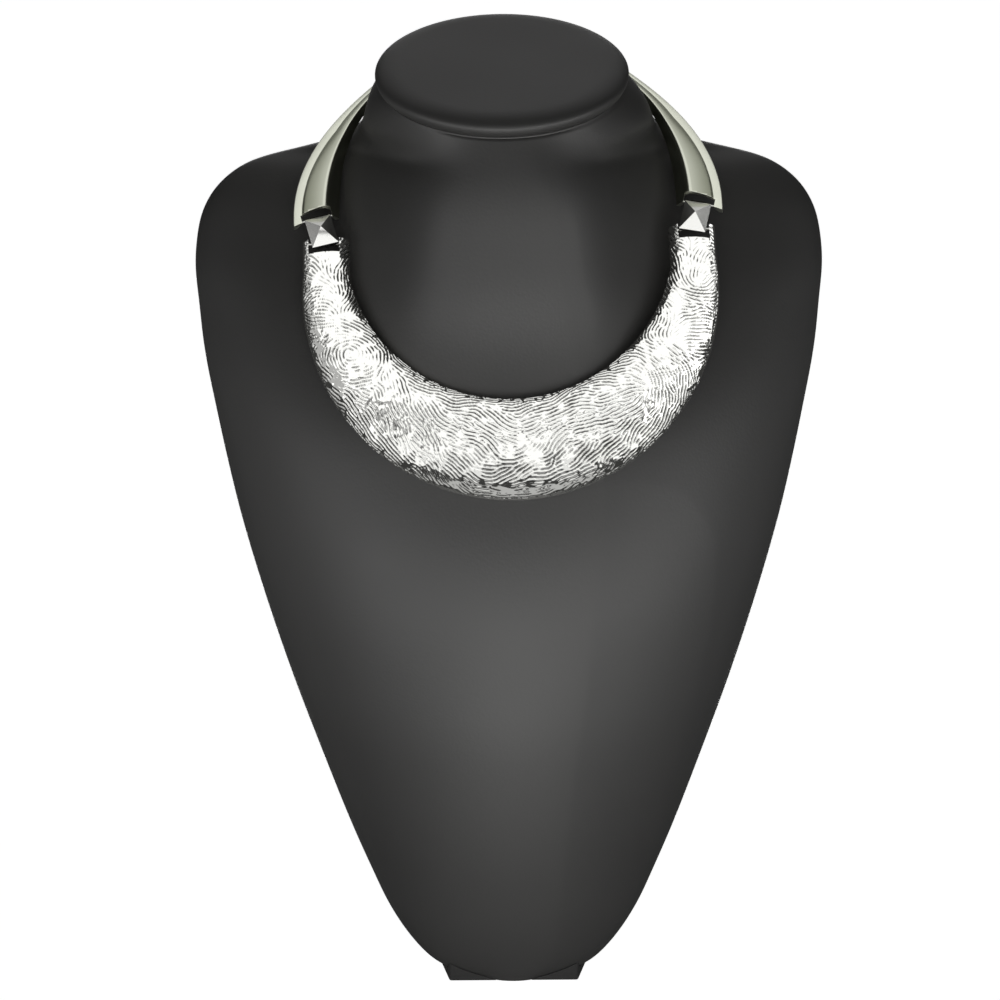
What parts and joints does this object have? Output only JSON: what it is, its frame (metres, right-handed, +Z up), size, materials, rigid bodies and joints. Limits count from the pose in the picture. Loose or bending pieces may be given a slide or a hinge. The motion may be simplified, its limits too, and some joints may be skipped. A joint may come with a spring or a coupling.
{
  "type": "bib collar choker on a neck bust",
  "caption": "Rigid bib collar choker with pyramid hinge links and side bars, closed by a short chain round the neck of a leatherette display bust on a flat foot.",
  "frame": {"origin": "under the middle of the bounding box, on the surface that the bust's foot stands on", "axes": "+Z up; the front of the bust, with the bib, faces -Y; its right side, as seen from the front, is +X"},
  "size_m": [0.2206, 0.1439, 0.3318],
  "materials": {
    "leatherette": "dark charcoal polyurethane leatherette, smooth, with a soft sheen",
    "polished_silver": "polished rhodium-coloured plating over cast zinc",
    "satin_silver": "satin silver plating, slightly warm",
    "chain_steel": "polished nickel-coloured steel wire"
  },
  "bodies": {
    "root": {"bust_body": "leatherette", "neck_cap": "leatherette", "bust_foot": "leatherette", "bib_plate": "polished_silver", "left_link": "polished_silver", "right_link": "polished_silver", "left_front_pin": "chain_steel", "left_rear_pin": "chain_steel", "right_front_pin": "chain_steel", "right_rear_pin": "chain_steel", "left_side_bar": "satin_silver", "right_side_bar": "satin_silver", "chain_link_01": "chain_steel", "chain_link_02": "chain_steel", "chain_link_03": "chain_steel", "chain_link_04": "chain_steel", "chain_link_05": "chain_steel", "clasp": "chain_steel", "chain_link_06": "chain_steel", "chain_link_07": "chain_steel", "chain_link_08": "chain_steel", "chain_link_09": "chain_steel", "chain_link_10": "chain_steel"}
  },
  "joints": []
}
